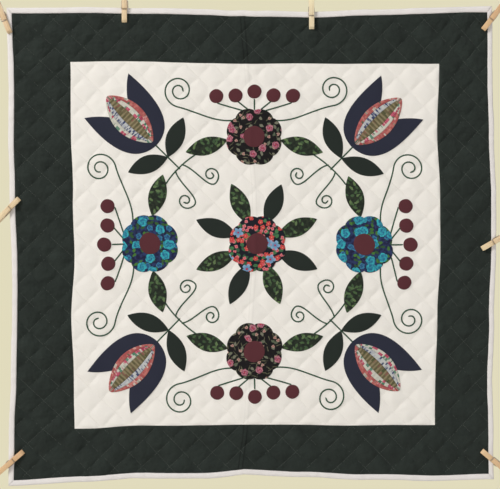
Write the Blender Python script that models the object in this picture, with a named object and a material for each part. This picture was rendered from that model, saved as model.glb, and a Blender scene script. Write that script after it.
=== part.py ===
"""Applique wall hanging held at its edge by eight spring clothes pegs.

A white panel is quilted in 45 degree crosshatch, framed by four dark green strips, edged
with a narrow white binding and covered with a rose medallion of sewn-on pieces. X runs
across, Y runs away from the viewer and Z up, with the origin at the middle of the top
edge. Sizes are in millimetres and the objects are made in metres.
"""

import math

import bmesh
import bpy
import numpy as np
from mathutils import Matrix, Vector

MM = 0.001
GAP = 0.3

# The flat cloth, measured from the top edge downwards
FIELD_HALF = 415.0
FIELD_TOP = -9.0
FIELD_BOTTOM = -812.0
PANEL_HALF = 320.0
PANEL_TOP = -93.0
PANEL_BOTTOM = -727.0
PANEL_MIDDLE = (PANEL_TOP + PANEL_BOTTOM) / 2
BINDING_WIDTH = 9.5

# The crosshatch: a stitched diamond's half diagonals, and the wadding's rise between stitches
CELLS_PER_HALF = 13
CELL_ACROSS = PANEL_HALF / CELLS_PER_HALF
CELL_UP = (PANEL_TOP - PANEL_MIDDLE) / CELLS_PER_HALF
STITCHED_THICKNESS = 2.2
PUFF_RISE = 2.0

# How far each seam strays from straight. Columns: height, then the shift to the right of
# the left edge, the panel's left seam, its right seam and the right edge
SIDE_SHIFTS = np.array([
    (-822, -2.0, 6.0, -1.0, 0.5),
    (-745, 0.0, 10.0, 0.0, -1.0),
    (-640, 2.5, 8.0, 1.5, -3.0),
    (-535, 4.5, 5.0, 4.5, -0.5),
    (-430, 4.5, 10.0, 8.5, 4.0),
    (-325, 0.5, 7.0, 9.0, 4.0),
    (-220, -1.0, 3.5, 4.0, -1.0),
    (-115, -2.5, 3.0, 7.0, -3.5),
    (0, -5.5, 0.0, 6.0, -3.0),
])

# Columns: place across, then the upward shift of the bottom edge, the panel's bottom seam,
# its top seam and the top edge
LEVEL_SHIFTS = np.array([
    (-415, -12.0, -8.5, 3.0, 1.5),
    (-300, -4.5, -6.0, 1.0, 3.0),
    (-195, 0.0, -0.5, 1.0, 2.0),
    (-90, 0.5, -1.0, -2.0, -1.5),
    (0, 7.0, 1.0, -2.0, -5.0),
    (90, 3.0, 0.5, -2.0, -4.5),
    (195, -1.5, 0.0, -3.0, -1.5),
    (300, -4.0, 0.0, -2.5, 1.0),
    (415, -1.0, 0.0, -0.5, 4.0),
])

# The cloth's rise towards the viewer: the storage fold down its middle, slow rolls and
# a ripple along its edges, none of it where a peg pinches it
FOLD_RISE, FOLD_REACH = 1.6, 90.0
ROLL_RISE, ROLL_ACROSS, ROLL_UP = 1.8, 95.0, 140.0
RIPPLE_RISE, RIPPLE_LENGTH, RIPPLE_POWER = 2.6, 38.0, 8
PINCH_REACH = 65.0

# Clothes pegs. Columns: name, the jaw tips' place across and up, the tail's direction
PEGS = (
    ("peg_top_left", -222.3, -24.2, 90),
    ("peg_top_right", 104.2, -35.9, 90),
    ("peg_corner_top_left", -421.7, -42.6, 113),
    ("peg_corner_top_right", 403.3, -36.8, 52),
    ("peg_left", -405.8, -331.0, 225),
    ("peg_right", 401.0, -419.0, 30),
    ("peg_corner_bottom_left", -398.7, -772.3, 221),
    ("peg_corner_bottom_right", 401.0, -771.1, 320),
)
PEG_WIDTH = 9.0
PEG_LENGTH = 80.0
JAW_LENGTH = 38.5
COIL_PLACE, COIL_RADIUS, COIL_WIDTH = 42.5, 3.0, 7.0
PINCH_PLACE = 17.0

# Sewn-on pieces: each layer is a thin sheet lying on the one under it
APPLIQUE_THICKNESS = 1.0
LAYER_GAP = 0.5
ROSE_RADIUS, ROSE_LOBES, ROSE_SCALLOP = 51.0, 8, 0.09
HEART_RADIUS = 19.0
LEAF_LENGTH, LEAF_WIDTH = 76.0, 31.0
CENTRE_LEAF_START = 38.0
WREATH_RADIUS = 188.0
WREATH_LEAF_TURN = 14.5
TULIP_START, TULIP_HEIGHT, TULIP_SPREAD = 242.0, 122.0, 54.0
TULIP_CUP_LENGTH, TULIP_CUP_WIDTH = 112.0, 56.0
STEM_LEAF_START, STEM_LEAF_SPREAD = 214.0, 66.0

COLOURS = {
    "panel_white": ((0.80, 0.77, 0.72), 0.9),
    "border_green": ((0.025, 0.034, 0.032), 0.9),
    "binding_white": ((0.77, 0.74, 0.74), 0.9),
    "leaf_green": ((0.020, 0.035, 0.024), 0.9),
    "rose_print": ((0.10, 0.21, 0.22), 0.9),
    "burgundy": ((0.11, 0.020, 0.032), 0.9),
    "navy": ((0.024, 0.026, 0.052), 0.9),
    "patchwork": ((0.20, 0.15, 0.09), 0.9),
    "peg_wood": ((0.76, 0.55, 0.31), 0.6),
}


def eased_row(table, at):
    """The table's columns at a place between two rows, blended with a smooth step."""
    places = table[:, 0]
    row = int(np.clip(np.searchsorted(places, at) - 1, 0, len(places) - 2))
    step = np.clip((at - places[row]) / (places[row + 1] - places[row]), 0.0, 1.0)
    blend = step * step * (3 - 2 * step)
    return table[row, 1:] * (1 - blend) + table[row + 1, 1:] * blend


def uneven(across, up):
    """A place on the flat cloth, moved to where its stretched and shrunk seams put it."""
    side_seams = (-FIELD_HALF, -PANEL_HALF, PANEL_HALF, FIELD_HALF)
    level_seams = (FIELD_BOTTOM, PANEL_BOTTOM, PANEL_TOP, FIELD_TOP)
    shift_across = np.interp(across, side_seams, eased_row(SIDE_SHIFTS, up))
    shift_up = np.interp(up, level_seams, eased_row(LEVEL_SHIFTS, across))
    return across + shift_across, up + shift_up


def stand_off(across, up):
    """How far the cloth's back stands towards the viewer, nothing where a peg holds it."""
    fold = FOLD_RISE * math.exp(-abs(across) / FOLD_REACH)
    roll = ROLL_RISE * math.sin(across / ROLL_ACROSS + 0.6) * math.sin(up / ROLL_UP)
    reach = max(abs(across) / FIELD_HALF, abs(up - PANEL_MIDDLE) / (FIELD_TOP - PANEL_MIDDLE))
    ripple = RIPPLE_RISE * min(reach, 1.0) ** RIPPLE_POWER
    ripple *= 0.6 + 0.4 * math.sin((across + up) / RIPPLE_LENGTH)
    free = 1.0
    for _, tip_across, tip_up, turn in PEGS:
        pinch_across = tip_across + PINCH_PLACE * math.cos(math.radians(turn))
        pinch_up = tip_up + PINCH_PLACE * math.sin(math.radians(turn))
        distance = math.hypot(across - pinch_across, up - pinch_up)
        free *= 1 - math.exp(-((distance / PINCH_REACH) ** 4))
    return (fold + roll + ripple) * free


def puff(across, up):
    """0 on a line of quilting and 1 in the middle of a diamond, straight in between."""
    cell_across = across / CELL_ACROSS
    cell_up = (up - PANEL_MIDDLE) / CELL_UP
    to_falling_line = abs((cell_across + cell_up + 1) % 2 - 1)
    to_rising_line = abs((cell_across - cell_up + 1) % 2 - 1)
    return min(to_rising_line, to_falling_line)


def on_cloth(across, up, forward):
    """The point that stands forward of the cloth's back at a place on the flat cloth."""
    x, z = uneven(across, up)
    return Vector((x, -stand_off(across, up) - forward, z)) * MM


def stitch_lines(low, high, cell, middle):
    """Cell numbers and places of the lattice lines from low to high, with both ends."""
    first = math.floor((low - middle) / cell + 0.01)
    last = math.ceil((high - middle) / cell - 0.01)
    numbers = np.arange(first, last + 1)
    places = middle + numbers * cell
    places[0], places[-1] = low, high
    return numbers, places


def lattice(left, right, bottom, top):
    """A flat rectangle with a point at each crossing and diamond middle of the quilting.

    Each cell is split along the diagonal that a line of stitches follows.
    """
    numbers_across, places_across = stitch_lines(left, right, CELL_ACROSS, 0.0)
    numbers_up, places_up = stitch_lines(bottom, top, CELL_UP, PANEL_MIDDLE)
    cells_across = len(places_across) - 1
    cells_up = len(places_up) - 1
    mesh = bmesh.new()
    bmesh.ops.create_grid(mesh, x_segments=cells_across, y_segments=cells_up, size=1.0)
    stitched = {}
    for vertex in mesh.verts:
        i = round((vertex.co.x + 1) / 2 * cells_across)
        j = round((vertex.co.y + 1) / 2 * cells_up)
        vertex.co = (places_across[i], 0.0, places_up[j])
        stitched[vertex] = (numbers_across[i] + numbers_up[j]) % 2 == 0
    for face in mesh.faces[:]:
        first, second = (vertex for vertex in face.verts if stitched[vertex])
        bmesh.utils.face_split(face, first, second)
    return mesh


def cut_piece(outline):
    """A flat piece with this outline, creased along every second line of the lattice."""
    mesh = bmesh.new()
    mesh.faces.new([mesh.verts.new((across, 0.0, up)) for across, up in outline])
    low = np.min(outline, axis=0)
    high = np.max(outline, axis=0)
    for number in range(1 - CELLS_PER_HALF, CELLS_PER_HALF, 2):
        place = number * CELL_ACROSS
        if low[0] < place < high[0]:
            everything = mesh.verts[:] + mesh.edges[:] + mesh.faces[:]
            bmesh.ops.bisect_plane(mesh, geom=everything, plane_co=(place, 0, 0), plane_no=(1, 0, 0))
        height = PANEL_MIDDLE + number * CELL_UP
        if low[1] < height < high[1]:
            everything = mesh.verts[:] + mesh.edges[:] + mesh.faces[:]
            bmesh.ops.bisect_plane(mesh, geom=everything, plane_co=(0, 0, height), plane_no=(0, 0, 1))
    return mesh


def cloth_object(name, slot, mesh, back, front):
    """A closed sheet over a flat mesh, with its back and front at the given heights."""
    flat = mesh.verts[:]
    everything = mesh.verts[:] + mesh.edges[:] + mesh.faces[:]
    grown = bmesh.ops.extrude_face_region(mesh, geom=everything, use_keep_orig=True)
    lifted = [piece for piece in grown["geom"] if isinstance(piece, bmesh.types.BMVert)]
    for vertices, height in ((flat, back), (lifted, front)):
        for vertex in vertices:
            across, up = vertex.co.x, vertex.co.z
            vertex.co = on_cloth(across, up, height(across, up))
    bmesh.ops.recalc_face_normals(mesh, faces=mesh.faces)
    data = bpy.data.meshes.new(name)
    mesh.to_mesh(data)
    mesh.free()
    return add_object(name, slot, data)


def add_object(name, slot, data):
    if not data.materials:
        data.materials.append(material(slot))
    piece = bpy.data.objects.new(name, data)
    hanging.objects.link(piece)
    return piece


def material(slot):
    if slot in bpy.data.materials:
        return bpy.data.materials[slot]
    colour, roughness = COLOURS[slot]
    made = bpy.data.materials.new(slot)
    made.use_nodes = True
    surface = made.node_tree.nodes["Principled BSDF"]
    surface.inputs["Base Color"].default_value = (*colour, 1.0)
    surface.inputs["Roughness"].default_value = roughness
    surface.inputs["Metallic"].default_value = 0.0
    return made


def quilted_strip(name, slot, left, right, bottom, top):
    """One cut strip or panel of the quilted cloth, a seam's gap in from its neighbours."""
    cloth_object(
        name,
        slot,
        lattice(left, right, bottom, top),
        back=lambda across, up: 0.0,
        front=lambda across, up: STITCHED_THICKNESS + PUFF_RISE * puff(across, up),
    )


def make_quilt():
    """The panel, the side borders at full height and the two borders between them."""
    seam = GAP / 2
    panel_side = PANEL_HALF - seam
    border_side = PANEL_HALF + seam
    quilted_strip(
        "centre_panel", "panel_white",
        -panel_side, panel_side, PANEL_BOTTOM + seam, PANEL_TOP - seam,
    )
    quilted_strip(
        "border_left", "border_green",
        -FIELD_HALF, -border_side, FIELD_BOTTOM, FIELD_TOP,
    )
    quilted_strip(
        "border_right", "border_green",
        border_side, FIELD_HALF, FIELD_BOTTOM, FIELD_TOP,
    )
    quilted_strip(
        "border_top", "border_green",
        -panel_side, panel_side, PANEL_TOP + seam, FIELD_TOP,
    )
    quilted_strip(
        "border_bottom", "border_green",
        -panel_side, panel_side, FIELD_BOTTOM, PANEL_BOTTOM - seam,
    )


# Rounded section of the folded binding. Columns: distance out from the border's edge,
# back and front heights
BINDING_SECTION = np.array([
    (GAP, -0.2, 4.5),
    (4.5, -0.4, 5.0),
    (8.0, 0.2, 4.3),
    (BINDING_WIDTH, 1.4, 3.0),
])


def outside(across, up):
    """Distance of a place on the flat cloth out from the border's edge."""
    beside = abs(across) - FIELD_HALF
    beyond = abs(up - PANEL_MIDDLE) - (FIELD_TOP - PANEL_MIDDLE)
    below = FIELD_BOTTOM - up
    return max(beside, beyond if up > PANEL_MIDDLE else below)


def make_binding():
    """Four strips with mitred ends, on the same lattice lines as the borders' edges."""
    distances = BINDING_SECTION[:, 0]
    _, places_across = stitch_lines(-FIELD_HALF, FIELD_HALF, CELL_ACROSS, 0.0)
    _, places_up = stitch_lines(FIELD_BOTTOM, FIELD_TOP, CELL_UP, PANEL_MIDDLE)
    for name, places, edge, direction in (
        ("binding_left", places_up, -FIELD_HALF, -1),
        ("binding_right", places_up, FIELD_HALF, 1),
        ("binding_bottom", places_across, FIELD_BOTTOM, -1),
        ("binding_top", places_across, FIELD_TOP, 1),
    ):
        upright = name in ("binding_left", "binding_right")
        mesh = bmesh.new()
        bmesh.ops.create_grid(
            mesh, x_segments=len(places) - 1, y_segments=len(distances) - 1, size=1.0
        )
        for vertex in mesh.verts:
            i = round((vertex.co.x + 1) / 2 * (len(places) - 1))
            out = distances[round((vertex.co.y + 1) / 2 * (len(distances) - 1))]
            mitre = out - GAP
            along = places[i] + (mitre if i == len(places) - 1 else -mitre if i == 0 else 0.0)
            beside = edge + direction * out
            vertex.co = (beside, 0.0, along) if upright else (along, 0.0, beside)
        cloth_object(
            name,
            "binding_white",
            mesh,
            back=lambda across, up: np.interp(outside(across, up), distances, BINDING_SECTION[:, 1]),
            front=lambda across, up: np.interp(outside(across, up), distances, BINDING_SECTION[:, 2]),
        )


def polar(radius, turn):
    """A place this far from the panel's middle, turned from the right-hand side."""
    angle = math.radians(turn)
    return radius * math.cos(angle), PANEL_MIDDLE + radius * math.sin(angle)


def turned(outline, origin, turn):
    """An outline drawn pointing up, turned to point the given way from an origin."""
    angle = math.radians(turn - 90)
    cosine, sine = math.cos(angle), math.sin(angle)
    return [
        (origin[0] + a * cosine - b * sine, origin[1] + a * sine + b * cosine)
        for a, b in outline
    ]


def leaf_outline(length, width, points=9, shape=0.85):
    """A pointed oval standing on its base, as a sine to a power down each side."""
    right = []
    for step in range(1, points):
        along = step / points
        right.append((width / 2 * math.sin(math.pi * along) ** shape, length * along))
    left = [(-half, along) for half, along in reversed(right)]
    return [(0.0, 0.0)] + right + [(0.0, length)] + left


def rose_outline():
    """A round flower whose edge swells into lobes and dips between them."""
    points = []
    for step in range(ROSE_LOBES * 5):
        angle = 2 * math.pi * step / (ROSE_LOBES * 5)
        swell = abs(math.sin(angle * ROSE_LOBES / 2))
        radius = ROSE_RADIUS * (1 - ROSE_SCALLOP * (1 - swell ** 0.7))
        points.append((radius * math.cos(angle), radius * math.sin(angle)))
    return points


def disc_outline(radius, points=18):
    angles = [2 * math.pi * step / points for step in range(points)]
    return [(radius * math.cos(angle), radius * math.sin(angle)) for angle in angles]


def bend(start, control, end, steps=6):
    """Points on a curve that leaves the start towards the control and ends at the end."""
    places = []
    for step in range(steps):
        t = step / steps
        weights = ((1 - t) ** 2, 2 * t * (1 - t), t * t)
        places.append((
            weights[0] * start[0] + weights[1] * control[0] + weights[2] * end[0],
            weights[0] * start[1] + weights[1] * control[1] + weights[2] * end[1],
        ))
    return places


def tulip_outline():
    """The two outer petals of a tulip seen from the side, joined at the base."""
    base, notch = (0.0, 0.0), (0.0, TULIP_HEIGHT * 0.42)
    tip = (TULIP_SPREAD, TULIP_HEIGHT)
    right = bend(base, (TULIP_SPREAD * 1.25, TULIP_HEIGHT * 0.02), tip)
    right += bend(tip, (TULIP_SPREAD * 0.38, TULIP_HEIGHT * 0.82), notch)
    left = [(-a, b) for a, b in reversed(right[1:])]
    return right + [notch] + left


def applique(name, slot, outline, layer):
    """A sewn-on piece lying on the quilting, or on the pieces of the layers under it."""
    start = STITCHED_THICKNESS + PUFF_RISE + LAYER_GAP
    start += layer * (APPLIQUE_THICKNESS + LAYER_GAP)
    cloth_object(
        name,
        slot,
        cut_piece(outline),
        back=lambda across, up: start,
        front=lambda across, up: start + APPLIQUE_THICKNESS,
    )


def rose(name, centre, turn):
    """A scalloped flower with a round heart on it."""
    applique(name + "_petals", "rose_print", turned(rose_outline(), centre, turn), 1)
    applique(name + "_heart", "burgundy", turned(disc_outline(HEART_RADIUS), centre, turn), 2)


def make_medallion():
    """A rose with eight leaves, a wreath with four roses, and four corner tulips."""
    leaf = leaf_outline(LEAF_LENGTH, LEAF_WIDTH)
    rose("centre_rose", polar(0.0, 0.0), 90)
    for number in range(8):
        turn = 22.5 + 45 * number
        start = polar(CENTRE_LEAF_START, turn)
        applique(f"centre_leaf_{number + 1}", "leaf_green", turned(leaf, start, turn), 0)
    for number in range(4):
        turn = 90 * number
        rose(f"wreath_rose_{number + 1}", polar(WREATH_RADIUS, turn), turn)
        for side, lean in (("a", 1), ("b", -1)):
            start = polar(WREATH_RADIUS, turn + lean * WREATH_LEAF_TURN)
            outline = turned(leaf, start, turn + lean * (90 + WREATH_LEAF_TURN * 1.1))
            applique(f"wreath_leaf_{number + 1}{side}", "leaf_green", outline, 0)
    for number in range(4):
        turn = 45 + 90 * number
        start = polar(TULIP_START, turn)
        applique(f"tulip_petals_{number + 1}", "navy", turned(tulip_outline(), start, turn), 0)
        cup = leaf_outline(TULIP_CUP_LENGTH, TULIP_CUP_WIDTH, shape=0.7)
        cup_start = polar(TULIP_START + 8, turn)
        applique(f"tulip_cup_{number + 1}", "patchwork", turned(cup, cup_start, turn), 1)
        for side, lean in (("a", 1), ("b", -1)):
            outline = turned(leaf, polar(STEM_LEAF_START, turn), turn + lean * STEM_LEAF_SPREAD)
            applique(f"stem_leaf_{number + 1}{side}", "leaf_green", outline, 0)


# One wooden leg seen from the side. Columns: distance from the jaw's tip, distance from
# the middle plane. It has a wire groove, a step for the coil and a slanted tail
LEG_OUTLINE = (
    (0.0, 3.05), (JAW_LENGTH, 3.05), (JAW_LENGTH + 1.0, 2.2), (47.0, 2.0),
    (PEG_LENGTH, 6.4), (PEG_LENGTH, 8.8), (PEG_LENGTH - 2.0, 9.8), (46.0, 9.3),
    (24.6, 9.0), (24.0, 8.0), (21.8, 8.0), (21.2, 9.0), (4.0, 8.6), (0.0, 5.6),
)


def leg_mesh(name, side):
    """A leg cut from a board of the peg's width, on one side of the middle plane."""
    outline = bpy.data.curves.new(name, "CURVE")
    outline.dimensions = "2D"
    outline.fill_mode = "BOTH"
    outline.extrude = PEG_WIDTH / 2 * MM
    spline = outline.splines.new("POLY")
    spline.points.add(len(LEG_OUTLINE) - 1)
    spline.use_cyclic_u = True
    for point, (along, apart) in zip(spline.points, LEG_OUTLINE):
        point.co = (along * MM, side * apart * MM, 0.0, 1.0)
    drawn = bpy.data.objects.new(name + "_outline", outline)
    cutters.objects.link(drawn)
    evaluated = drawn.evaluated_get(bpy.context.evaluated_depsgraph_get())
    data = bpy.data.meshes.new_from_object(evaluated)
    bpy.data.objects.remove(drawn)
    solid = bmesh.new()
    solid.from_mesh(data)
    bmesh.ops.remove_doubles(solid, verts=solid.verts, dist=0.001 * MM)
    bmesh.ops.recalc_face_normals(solid, faces=solid.faces)
    solid.to_mesh(data)
    solid.free()
    return data


def peg_mesh():
    """Two legs joined by the spring's coil, as one body, with the jaws' tips at the origin."""
    front = bpy.data.objects.new("peg_front_leg", leg_mesh("peg_front_leg", 1))
    back = bpy.data.objects.new("peg_back_leg", leg_mesh("peg_back_leg", -1))
    coil_data = bpy.data.meshes.new("peg_coil")
    cylinder = bmesh.new()
    bmesh.ops.create_cone(
        cylinder, cap_ends=True, segments=12, radius1=COIL_RADIUS * MM, radius2=COIL_RADIUS * MM,
        depth=COIL_WIDTH * MM, matrix=Matrix.Translation((COIL_PLACE * MM, 0.0, 0.0)),
    )
    cylinder.to_mesh(coil_data)
    cylinder.free()
    coil = bpy.data.objects.new("peg_coil", coil_data)
    for tool in (front, back, coil):
        tool.hide_render = True
        tool.display_type = "WIRE"
        cutters.objects.link(tool)
    for joined in (coil, back):
        union = front.modifiers.new("join_" + joined.name, "BOOLEAN")
        union.operation = "UNION"
        union.solver = "EXACT"
        union.object = joined
    evaluated = front.evaluated_get(bpy.context.evaluated_depsgraph_get())
    data = bpy.data.meshes.new_from_object(evaluated)
    data.name = "peg"
    data.materials.clear()
    return data


def make_pegs():
    """The pegs pinch the binding, each turned to point its tail out of the hanging."""
    data = peg_mesh()
    section_back = BINDING_SECTION[:, 1].min()
    section_front = BINDING_SECTION[:, 2].max()
    middle = -(section_front + section_back) / 2
    for name, tip_across, tip_up, turn in PEGS:
        angle = math.radians(turn)
        tail = Vector((math.cos(angle), 0.0, math.sin(angle)))
        forward = Vector((0.0, -1.0, 0.0))
        width = tail.cross(forward)
        peg = add_object(name, "peg_wood", data)
        axes = Matrix((tail, forward, width)).transposed().to_4x4()
        peg.matrix_world = Matrix.Translation(Vector((tip_across, middle, tip_up)) * MM) @ axes


for old in list(bpy.data.objects):
    bpy.data.objects.remove(old)
hanging = bpy.data.collections.new("applique_wall_hanging")
cutters = bpy.data.collections.new("cutters")
for group in (hanging, cutters):
    bpy.context.scene.collection.children.link(group)
make_quilt()
make_binding()
make_medallion()
make_pegs()
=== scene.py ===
import bmesh
import bpy
import numpy as np
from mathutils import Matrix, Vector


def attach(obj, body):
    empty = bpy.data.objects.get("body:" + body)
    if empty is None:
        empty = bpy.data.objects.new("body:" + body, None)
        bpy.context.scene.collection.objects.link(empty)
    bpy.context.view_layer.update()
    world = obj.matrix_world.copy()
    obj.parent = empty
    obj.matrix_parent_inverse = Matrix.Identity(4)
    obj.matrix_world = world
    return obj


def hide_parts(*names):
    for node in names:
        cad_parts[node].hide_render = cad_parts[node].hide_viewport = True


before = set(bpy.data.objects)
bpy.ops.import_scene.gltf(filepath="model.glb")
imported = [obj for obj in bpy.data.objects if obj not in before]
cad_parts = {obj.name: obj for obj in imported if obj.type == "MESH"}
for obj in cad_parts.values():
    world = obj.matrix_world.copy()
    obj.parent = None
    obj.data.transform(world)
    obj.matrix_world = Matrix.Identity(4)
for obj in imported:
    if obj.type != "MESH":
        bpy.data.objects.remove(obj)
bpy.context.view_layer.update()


# How the cloth hangs. The panel and its borders are one layer of cotton, wadding and
# backing, pulled out of square by its pegs. A place on it is given as millimetres across
# and up on the flat cloth, and the tables say how far each seam has strayed.
MM = 0.001
FIELD_HALF, PANEL_HALF = 415.0, 320.0
FIELD_TOP, PANEL_TOP, PANEL_BOTTOM, FIELD_BOTTOM = -9.0, -93.0, -727.0, -812.0
PANEL_MIDDLE = (PANEL_TOP + PANEL_BOTTOM) / 2

# Columns: height, then the shift to the right of the left edge, the two seams, the right edge
SIDE_SHIFTS = np.array([
    (-822, -2.0, 6.0, -1.0, 0.5),
    (-745, 0.0, 10.0, 0.0, -1.0),
    (-640, 2.5, 8.0, 1.5, -3.0),
    (-535, 4.5, 5.0, 4.5, -0.5),
    (-430, 4.5, 10.0, 8.5, 4.0),
    (-325, 0.5, 7.0, 9.0, 4.0),
    (-220, -1.0, 3.5, 4.0, -1.0),
    (-115, -2.5, 3.0, 7.0, -3.5),
    (0, -5.5, 0.0, 6.0, -3.0),
])
# Columns: place across, then the upward shift of the bottom edge, the two seams, the top edge
LEVEL_SHIFTS = np.array([
    (-415, -12.0, -8.5, 3.0, 1.5),
    (-300, -4.5, -6.0, 1.0, 3.0),
    (-195, 0.0, -0.5, 1.0, 2.0),
    (-90, 0.5, -1.0, -2.0, -1.5),
    (0, 7.0, 1.0, -2.0, -5.0),
    (90, 3.0, 0.5, -2.0, -4.5),
    (195, -1.5, 0.0, -3.0, -1.5),
    (300, -4.0, 0.0, -2.5, 1.0),
    (415, -1.0, 0.0, -0.5, 4.0),
])
FOLD_RISE, FOLD_REACH, FOLD_PULL, FOLD_END = 1.6, 90.0, 1.8, -17.0
CREASE_RISE, CREASE_WIDTH, CREASE_PLACE, CREASE_HEIGHT, CREASE_BOW = 0.9, 4.5, -4.0, -390.0, 12.0
ROLL_RISE, ROLL_ACROSS, ROLL_UP = 1.8, 95.0, 140.0
RIPPLE_RISE, RIPPLE_LENGTH, RIPPLE_POWER = 2.6, 38.0, 8
# Columns: name, the jaw tips' place across and up, the tail's direction in degrees
PEGS = (
    ("peg_top_left", -222.3, -24.2, 90),
    ("peg_top_right", 104.2, -35.9, 90),
    ("peg_corner_top_left", -421.7, -42.6, 113),
    ("peg_corner_top_right", 403.3, -36.8, 52),
    ("peg_left", -405.8, -331.0, 225),
    ("peg_right", 401.0, -419.0, 30),
    ("peg_corner_bottom_left", -398.7, -772.3, 221),
    ("peg_corner_bottom_right", 401.0, -771.1, 320),
)
PINCH_PLACE, PINCH_REACH = 17.0, 65.0


def blended_rows(table, at):
    """Each column of a table at these places: a smooth step from one row to the next."""
    at = np.asarray(at, float)
    row = np.clip(np.searchsorted(table[:, 0], at) - 1, 0, len(table) - 2)
    step = np.clip((at - table[row, 0]) / (table[row + 1, 0] - table[row, 0]), 0, 1)
    blend = (step * step * (3 - 2 * step))[..., None]
    return table[row, 1:] * (1 - blend) + table[row + 1, 1:] * blend


def shifted(at, seams, shifts):
    """The shift between four seams: straight from each seam's own shift to the next one's."""
    total = shifts[..., 0]
    for low, high, start, end in zip(seams, seams[1:], (0, 1, 2), (1, 2, 3)):
        reach = np.clip((at - low) / (high - low), 0, 1)
        total = total + (shifts[..., end] - shifts[..., start]) * reach
    return total


def uneven(across, up):
    """A flat place moved by the strayed seams, and by slow sines for hand-drawn lines."""
    sway = shifted(across, (-FIELD_HALF, -PANEL_HALF, PANEL_HALF, FIELD_HALF),
                   blended_rows(SIDE_SHIFTS, up))
    lift = shifted(up, (FIELD_BOTTOM, PANEL_BOTTOM, PANEL_TOP, FIELD_TOP),
                   blended_rows(LEVEL_SHIFTS, across))
    ends = np.clip((abs(up - PANEL_MIDDLE) - (PANEL_TOP - PANEL_MIDDLE)) / 85, 0, 1)
    lift = lift + FOLD_PULL * ends * np.exp(-abs(across - FOLD_END) / 16)
    sway = sway + 0.5 * np.sin(across / 43 + up / 71) + 0.4 * np.sin(up / 27 - across / 88 + 2)
    lift = lift + 0.5 * np.sin(up / 39 - across / 64 + 1) + 0.4 * np.sin(across / 25 + up / 93)
    return across + sway, up + lift


def soft_noise(across, up, width, height, seed):
    """Values from -1 to 1 at random lattice points, width by height apart, blended smoothly."""
    values = np.random.default_rng(seed).uniform(-1, 1, (64, 64))
    column, row = np.asarray(across) / width, np.asarray(up) / height
    i, j = np.floor(column).astype(int), np.floor(row).astype(int)
    s, t = column - i, row - j
    s, t = s * s * (3 - 2 * s), t * t * (3 - 2 * t)
    low = values[i % 64, j % 64] * (1 - s) + values[(i + 1) % 64, j % 64] * s
    high = values[i % 64, (j + 1) % 64] * (1 - s) + values[(i + 1) % 64, (j + 1) % 64] * s
    return low * (1 - t) + high * t


def stand_off(across, up):
    """The cloth's rise from the wall's plane: the storage fold, slow rolls, an edge ripple
    and small creases, all of them nothing where a peg pinches the edge."""
    rise = FOLD_RISE * np.exp(-np.sqrt(across ** 2 + 9) / FOLD_REACH)
    beyond = across - CREASE_PLACE + CREASE_BOW * ((up - CREASE_HEIGHT) / 330) ** 2
    rise = rise + CREASE_RISE * np.exp(-((beyond / CREASE_WIDTH) ** 2))
    rise = rise + ROLL_RISE * np.sin(across / ROLL_ACROSS + 0.6) * np.sin(up / ROLL_UP)
    reach = np.maximum(abs(across) / FIELD_HALF, abs(up - PANEL_MIDDLE) / (FIELD_TOP - PANEL_MIDDLE))
    ripple = RIPPLE_RISE * np.minimum(reach, 1) ** RIPPLE_POWER
    rise = rise + ripple * (0.6 + 0.4 * np.sin((across + up) / RIPPLE_LENGTH))
    beside = np.clip((abs(across) - PANEL_HALF) / 12, 0, 1)
    above = np.clip((abs(up - PANEL_MIDDLE) - (PANEL_TOP - PANEL_MIDDLE)) / 12, 0, 1) * (1 - beside)
    rise = rise + 0.85 * beside * soft_noise(across, up, 38, 9, 3)
    rise = rise + 0.5 * above * soft_noise(across, up, 9, 45, 4)
    corner = np.exp(-((across + 360) ** 2 + (up + 690) ** 2) / 90 ** 2)
    rise = rise + 0.9 * corner * soft_noise(across, up, 40, 16, 5)
    free = 1.0
    for _, tip_across, tip_up, turn in PEGS:
        angle = np.radians(turn)
        distance = np.hypot(across - tip_across - PINCH_PLACE * np.cos(angle),
                            up - tip_up - PINCH_PLACE * np.sin(angle))
        free = free * (1 - np.exp(-((distance / PINCH_REACH) ** 4)))
    return rise * free


def hung(across, up, forward):
    """Points in the room, in metres, that stand forward of the cloth's back."""
    x, z = uneven(across, up)
    return np.stack((x, -stand_off(across, up) - forward, z), axis=-1) * MM


def add_piece(name, points, faces, flat, materials, index=None):
    """A smooth mesh object at the origin, with the flat places as its UV map, in metres."""
    mesh = bpy.data.meshes.new(name)
    faces = np.asarray(faces)
    sides = faces.shape[1]
    mesh.vertices.add(len(points))
    mesh.vertices.foreach_set("co", np.asarray(points, np.float32).ravel())
    mesh.loops.add(faces.size)
    mesh.loops.foreach_set("vertex_index", faces.astype(np.int32).ravel())
    mesh.polygons.add(len(faces))
    mesh.polygons.foreach_set("loop_start", np.arange(0, faces.size, sides, dtype=np.int32))
    mesh.polygons.foreach_set("use_smooth", np.ones(len(faces), bool))
    for material in materials:
        mesh.materials.append(material)
    if index is not None:
        mesh.polygons.foreach_set("material_index", np.asarray(index, np.int32))
    mesh.update(calc_edges=True)
    layer = mesh.uv_layers.new(name="cloth")
    layer.data.foreach_set("uv", (np.asarray(flat)[faces.ravel()] * MM).astype(np.float32).ravel())
    piece = bpy.data.objects.new(name, mesh)
    bpy.context.scene.collection.objects.link(piece)
    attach(piece, "root")
    return piece


def tidied(piece, flip=False):
    """Merges a piece's coinciding points and turns its faces outward."""
    mesh = bmesh.new()
    mesh.from_mesh(piece.data)
    bmesh.ops.remove_doubles(mesh, verts=mesh.verts, dist=1e-6)
    bmesh.ops.recalc_face_normals(mesh, faces=mesh.faces)
    mesh.to_mesh(piece.data)
    mesh.free()
    return piece


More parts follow.
